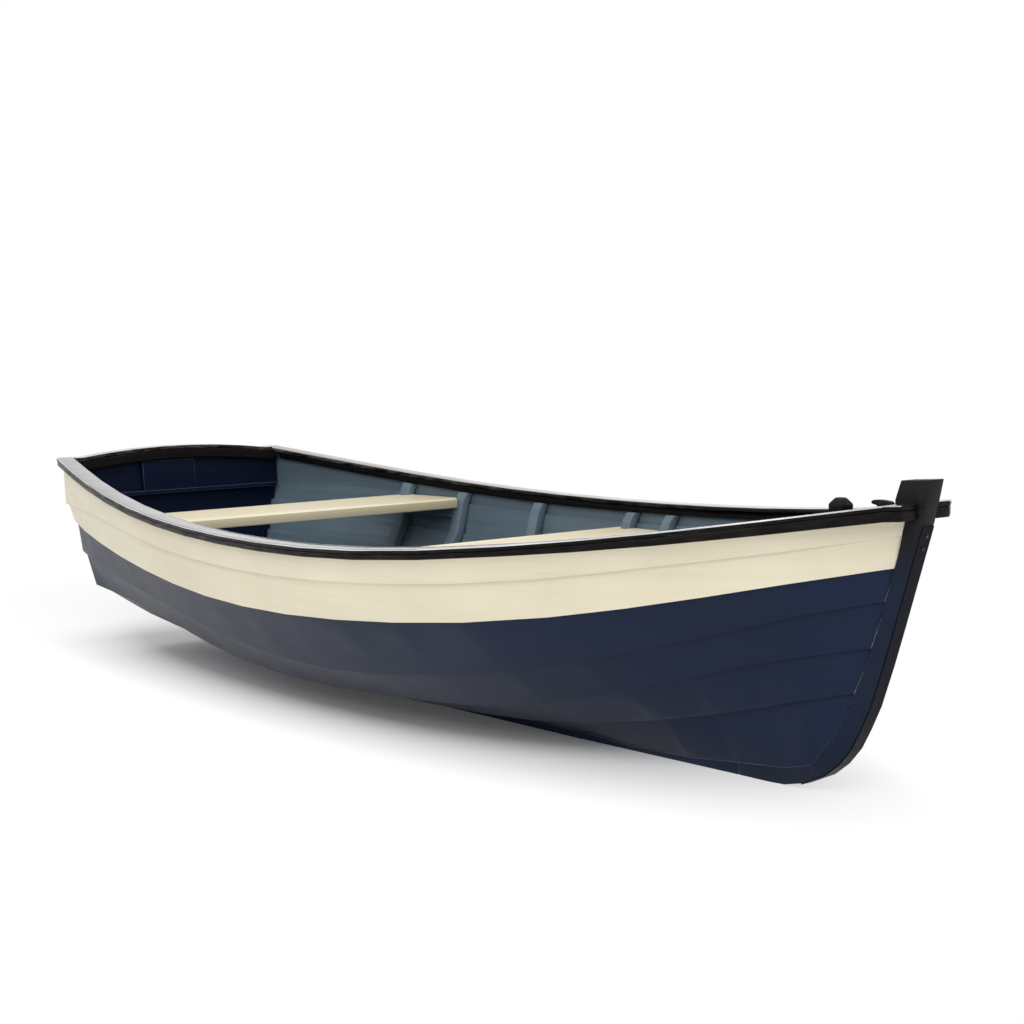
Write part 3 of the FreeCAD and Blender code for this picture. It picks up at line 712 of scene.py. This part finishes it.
@dataclass
class Structure(Assembly):
    """Rails, frames, backbone, transom and thwarts."""

    timber_edge: float = 0.0022
    frame_edge: float = 0.0044
    rail_edge: float = 0.0035
    stern_edge: float = 0.0016
    round_segments: int = 3
    rails: tuple[tuple[str, str], ...] = (("rubbing_rail", "black"), ("inwale", "black_dull"))
    thwarts: tuple[str, ...] = ("aft", "forward")
    frames: int = 8
    black_pieces: tuple[str, ...] = ("transom_beam", "breasthook")
    navy_pieces: tuple[str, ...] = ("transom", "motor_pad", "transom_ledge")
    inner_pieces: tuple[str, ...] = ("hog", "apron", "stern_knee", "bottom_board_port",
                                     "bottom_board_starboard")
    # Face tilts and height that pick the caps' painted highlight and the rabbet's painted
    # highlight.
    highlight_reach: float = 0.3
    rabbet_turn: float = 0.2
    highlight_top: float = 0.5
    inward_reach: float = -0.5
    packing_low: Triple = (-1.524, 0.310, 0.580)
    packing_high: Triple = (-1.4818, 0.3615, 0.5968)
    packing_rise: float = 0.0028
    packing_edge: float = 0.0006

    def build(self) -> None:
        """Dress every timber."""
        dress = self.shop.dress
        for side in Side:
            self.cap(side)
            self.packing(side)
            for rail, finish in self.rails:
                dress(f"{rail}_{side.label}", "black_paint", finish, self.rail_edge,
                      self.round_segments)
            for thwart in self.thwarts:
                dress(f"{thwart}_thwart_cleat_{side.label}", "grey_blue_paint", "inside",
                      self.timber_edge)
        for number in range(1, self.frames + 1):
            dress(f"frame_{number}", "grey_blue_paint", "inside", self.frame_edge,
                  self.round_segments)
        for node in self.black_pieces:
            dress(node, "black_paint", "black_dull", self.timber_edge)
        dress("transom_cap", "black_paint", "black", self.timber_edge, turned="black_top")
        self.rabbeted("keel", "navy_paint", "navy")
        self.rabbeted("stem", "black_paint", "stem")
        for node in self.navy_pieces:
            self.stern_piece(node)
        for node in self.inner_pieces:
            dress(node, "grey_blue_paint", "inside", self.timber_edge)
        for thwart in self.thwarts:
            # Faces that look ahead take the darker thwart paint, painted shade.
            dress(f"{thwart}_thwart", "thwart_paint", "thwart", self.frame_edge,
                  self.round_segments, "thwart_painted_shade", AHEAD)

    def cap(self, side: Side) -> None:
        """Dress one gunwale cap: polished top, outer upper corner painted light grey as a painted
        highlight, dull face.

        Args:
            side: Side of the boat.
        """
        node = f"gunwale_cap_{side.label}"
        form = self.shop.copy_of(node)
        self.shop.round_edges(form, self.rail_edge, self.round_segments)
        polished, painted_highlight = 1, 2
        # The outer upper corner takes light grey, a painted highlight.
        for face in form.faces:
            if face.normal.z > TURNED_REACH:
                face.material_index = polished
            elif face.normal.z > self.highlight_reach and face.normal.y * side.value > 0.0:
                face.material_index = painted_highlight
        self.shop.finish(form, node + "_form", "black_paint", ["black", "black_top", "painted_highlight"],
                         (node,))

    def packing(self, side: Side) -> None:
        """Fill the wedge between the transom's beam and the end of its cap.

        Args:
            side: Side of the boat.
        """
        low, high = Vector(self.packing_low), Vector(self.packing_high)
        middle = (low + high) / 2.0
        middle.y *= side.value
        form = bmesh.new()
        bmesh.ops.create_cube(form, size=1.0)
        bmesh.ops.scale(form, vec=high - low, verts=form.verts[:])
        bmesh.ops.translate(form, vec=middle, verts=form.verts[:])
        inner_top = [corner for corner in form.verts
                     if corner.co.z > middle.z and abs(corner.co.y) < abs(middle.y)]
        bmesh.ops.translate(form, vec=UP * self.packing_rise, verts=inner_top)
        self.shop.round_edges(form, self.packing_edge, 1)
        self.shop.finish(form, f"cap_packing_{side.label}", "black_paint", ["black_dull"])

    def rabbeted(self, node: str, slot: str, finish: str) -> None:
        """Dress a timber that the planks end on, its low corner along them painted lighter as a
        painted highlight.

        Args:
            node: Name of the CAD node.
            slot: Material slot of the record.
            finish: Finish key.
        """
        form = self.shop.copy_of(node)
        for face in self.shop.round_edges(form, self.timber_edge, self.round_segments):
            # Low rounded faces along the planks take lighter navy, a painted highlight.
            along = face.normal.z > self.rabbet_turn or face.normal.x < -self.rabbet_turn
            sideways = abs(face.normal.y) > self.rabbet_turn
            low = face.calc_center_median().z < self.highlight_top
            face.material_index = int(along and sideways and low)
        self.shop.finish(form, node + "_form", slot, [finish, "navy_edge"], (node,))

    def stern_piece(self, node: str) -> None:
        """Dress one timber of the stern: hull navy on faces that look aft, darker navy as painted
        shade on the rest, painted highlights on forward edges.

        Args:
            node: Name of the CAD node.
        """
        form = self.shop.copy_of(node)
        rounded = self.shop.round_edges(form, self.stern_edge)
        # Faces that don't look aft take darker navy as painted shade; rounded edges that look
        # forward take lighter navy as a painted highlight.
        for face in form.faces:
            face.material_index = int(face.normal.dot(AHEAD) > self.inward_reach)
        painted_highlight = 2
        for face in rounded:
            if face.normal.dot(AHEAD) > 0.0:
                face.material_index = painted_highlight
        self.shop.finish(form, node + "_form", "navy_paint",
                         ["navy", "navy_painted_shade", "deep_navy_edge"], (node,))


@dataclass
class BowFittings(Assembly):
    """Stem band with its screws, mooring bitt and cleat."""

    band_edge: float = 0.0008
    fitting_edge: float = 0.003
    fitting_segments: int = 3
    screw_heights: tuple[float, ...] = (0.598, 0.570)
    screw_radius: float = 0.0042
    screw_rise: float = 0.0019
    screw_sunk: float = 0.0003
    screw_facets: int = 24
    crown_inset: float = 0.0015
    crown_rise: float = 0.0004
    ray_from: float = 2.0

    def build(self) -> None:
        """Dress the bow ironwork."""
        self.shop.dress("stem_band", "band_metal", "band", self.band_edge)
        self.shop.dress("mooring_bitt", "black_paint", "black", self.fitting_edge,
                        self.fitting_segments)
        self.shop.dress("bow_cleat", "black_iron", "iron", self.fitting_edge,
                        self.fitting_segments)
        band = self.shop.copy_of("stem_band")
        tree = BVHTree.FromBMesh(band)
        band.free()
        for number, height in enumerate(self.screw_heights, 1):
            place, normal = tree.ray_cast(Vector((self.ray_from, 0.0, height)), -AHEAD)[:2]
            self.screw(number, place - normal * self.screw_sunk, normal)

    def screw(self, number: int, place: Vector, normal: Vector) -> None:
        """Set one round-headed screw into the front of the stem band.

        Args:
            number: Number of the screw, from the top.
            place: Middle of the head's underside.
            normal: The way that the head looks.
        """
        form = bmesh.new()
        bmesh.ops.create_cone(form, cap_ends=True, segments=self.screw_facets,
                              radius1=self.screw_radius, radius2=self.screw_radius,
                              depth=self.screw_rise,
                              matrix=Matrix.Translation(UP * (self.screw_rise / 2.0)))
        form.normal_update()
        crown = [face for face in form.faces if face.normal.z > TURNED_REACH]
        bmesh.ops.inset_region(form, faces=crown, thickness=self.crown_inset,
                               depth=self.crown_rise)
        turn = normal.to_track_quat("Z", "Y").to_matrix().to_4x4()
        bmesh.ops.transform(form, matrix=Matrix.Translation(place) @ turn, verts=form.verts[:])
        self.shop.finish(form, f"band_screw_{number}", "band_metal", ["screw"])


@dataclass(frozen=True)
class SoftLamp:
    """One square area lamp, its side in metres and its power in watts."""

    name: str
    place: Triple
    size: float
    power: float

    def hang(self, aim: Vector) -> None:
        """Add the lamp to the scene.

        Args:
            aim: Point that it looks at.
        """
        light = bpy.data.lights.new(self.name, "AREA")
        light.shape = "SQUARE"
        light.size = self.size
        light.energy = self.power
        turn = (aim - Vector(self.place)).to_track_quat("-Z", "Y").to_matrix().to_4x4()
        placed(self.name, light).matrix_world = Matrix.Translation(self.place) @ turn


@dataclass
class Studio:
    """White studio: floor, world, soft lamps and the photograph's camera."""

    azimuth: float = 49.92
    elevation: float = 5.956
    roll: float = -0.163
    distance: float = 5.444
    focal_pixels: float = 2100.0
    picture: float = 1024.0
    sensor: float = 36.0
    target: Triple = (0.1600, 0.0, 0.544)
    lamp_aim: Triple = (0.1600, 0.0, 0.3)
    lamps: tuple[SoftLamp, ...] = (SoftLamp("key", (2.9, -4.1, 3.3), 3.0, 130.0),
                                   SoftLamp("top", (0.2, 0.0, 4.4), 2.0, 88.0))
    ambient: float = 0.62
    floor_span: float = 60.0
    floor_tone: float = 0.95
    floor_glow: float = 0.04
    hidden_tone: float = 0.90
    shade_centre: Triple = (-0.75, 0.14, 0.0)
    shade_turn: Triple = (0.0, 0.0, -0.103)
    shade_reach: Triple = (2.10, 0.60, 1.0)
    white_span: Span = (0.62, 1.10)

    def build(self) -> None:
        """Set the whole studio."""
        self.camera()
        self.world()
        self.floor()
        for lamp in self.lamps:
            lamp.hang(Vector(self.lamp_aim))
        bpy.context.scene.view_settings.view_transform = "Standard"

    def camera(self) -> None:
        """Place the camera at the photograph's angle."""
        azimuth = math.radians(self.azimuth)
        elevation = math.radians(self.elevation)
        roll = math.radians(self.roll)
        back = Vector((math.sin(azimuth) * math.cos(elevation),
                       -math.cos(azimuth) * math.cos(elevation), math.sin(elevation)))
        level = Vector((math.cos(azimuth), math.sin(azimuth), 0.0))
        rise = back.cross(level)
        right = level * math.cos(roll) + rise * math.sin(roll)
        up = rise * math.cos(roll) - level * math.sin(roll)
        lens = bpy.data.cameras.new("camera")
        lens.sensor_width = self.sensor
        lens.lens = self.sensor * self.focal_pixels / self.picture
        place = Matrix((right, up, back)).transposed().to_4x4()
        place.translation = Vector(self.target) + back * self.distance
        camera = placed("camera", lens)
        camera.matrix_world = place
        bpy.context.scene.camera = camera

    @staticmethod
    def seen(tree: bpy.types.NodeTree) -> bpy.types.NodeSocket:
        """Return 1 for camera, glossy and transmission rays and 0 for the rest.

        Args:
            tree: Node tree that the test is added to.

        Returns:
            The value socket.
        """
        path = tree.nodes.new("ShaderNodeLightPath")
        value = path.outputs["Is Camera Ray"]
        for name in ("Is Glossy Ray", "Is Transmission Ray"):
            node = tree.nodes.new("ShaderNodeMath")
            node.operation = "MAXIMUM"
            tree.links.new(value, node.inputs[0])
            tree.links.new(path.outputs[name], node.inputs[1])
            value = node.outputs[0]
        return value

    def world(self) -> None:
        """Light evenly from all round, white where it is seen or mirrored."""
        world = bpy.data.worlds.new("studio_white")
        bpy.context.scene.world = world
        world.use_nodes = True
        tree = world.node_tree
        node = tree.nodes["Background"]
        node.inputs["Color"].default_value = WHITE
        strength = tree.nodes.new("ShaderNodeMapRange")
        tree.links.new(self.seen(tree), strength.inputs["Value"])
        strength.inputs["To Min"].default_value = self.ambient
        strength.inputs["To Max"].default_value = 1.0
        tree.links.new(strength.outputs[0], node.inputs["Strength"])

    def floor(self) -> None:
        """Lay a white floor that keeps the boat's shadow and is pure white further out."""
        graph = Graph("floor_white")
        around = graph.add("ShaderNodeMapping", {"vector_type": "TEXTURE"},
                           Vector=graph.coordinates, Location=self.shade_centre,
                           Rotation=self.shade_turn, Scale=self.shade_reach).outputs[0]
        radius = graph.add("ShaderNodeVectorMath", {"operation": "LENGTH"},
                           Vector=around).outputs["Value"]
        matt = graph.add("ShaderNodeBsdfDiffuse", Color=(self.floor_tone,) * 3 + (1.0,))
        hidden = graph.add("ShaderNodeBsdfDiffuse", Color=(self.hidden_tone,) * 3 + (1.0,))
        lift = graph.add("ShaderNodeEmission", Color=WHITE, Strength=self.floor_glow)
        white = graph.add("ShaderNodeEmission", Color=WHITE, Strength=1.0)
        near = graph.add("ShaderNodeAddShader")
        shown = graph.add("ShaderNodeMixShader")
        final = graph.add("ShaderNodeMixShader")
        feeds = ((near, (matt.outputs[0], lift.outputs[0])),
                 (shown, (graph.ranged(radius, self.white_span), near.outputs[0],
                          white.outputs[0])),
                 (final, (self.seen(graph.tree), hidden.outputs[0], shown.outputs[0])))
        for node, sources in feeds:
            for socket, source in enumerate(sources):
                graph.feed(node, socket, source)
        form = bmesh.new()
        bmesh.ops.create_grid(form, x_segments=1, y_segments=1, size=self.floor_span / 2.0)
        mesh = bpy.data.meshes.new("floor")
        form.to_mesh(mesh)
        form.free()
        mesh.materials.append(graph.close(final))
        placed("floor", mesh)


def main() -> None:
    """Load the frame and build every part of the boat and its studio."""
    logging.basicConfig(level=logging.INFO, format="%(message)s")
    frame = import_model()
    shop = Workshop(frame["nodes"])
    Studio().build()
    for assembly in (Planking, Structure, BowFittings):
        assembly(shop).build()
    bpy.context.view_layer.update()


if __name__ == "__main__":
    main()
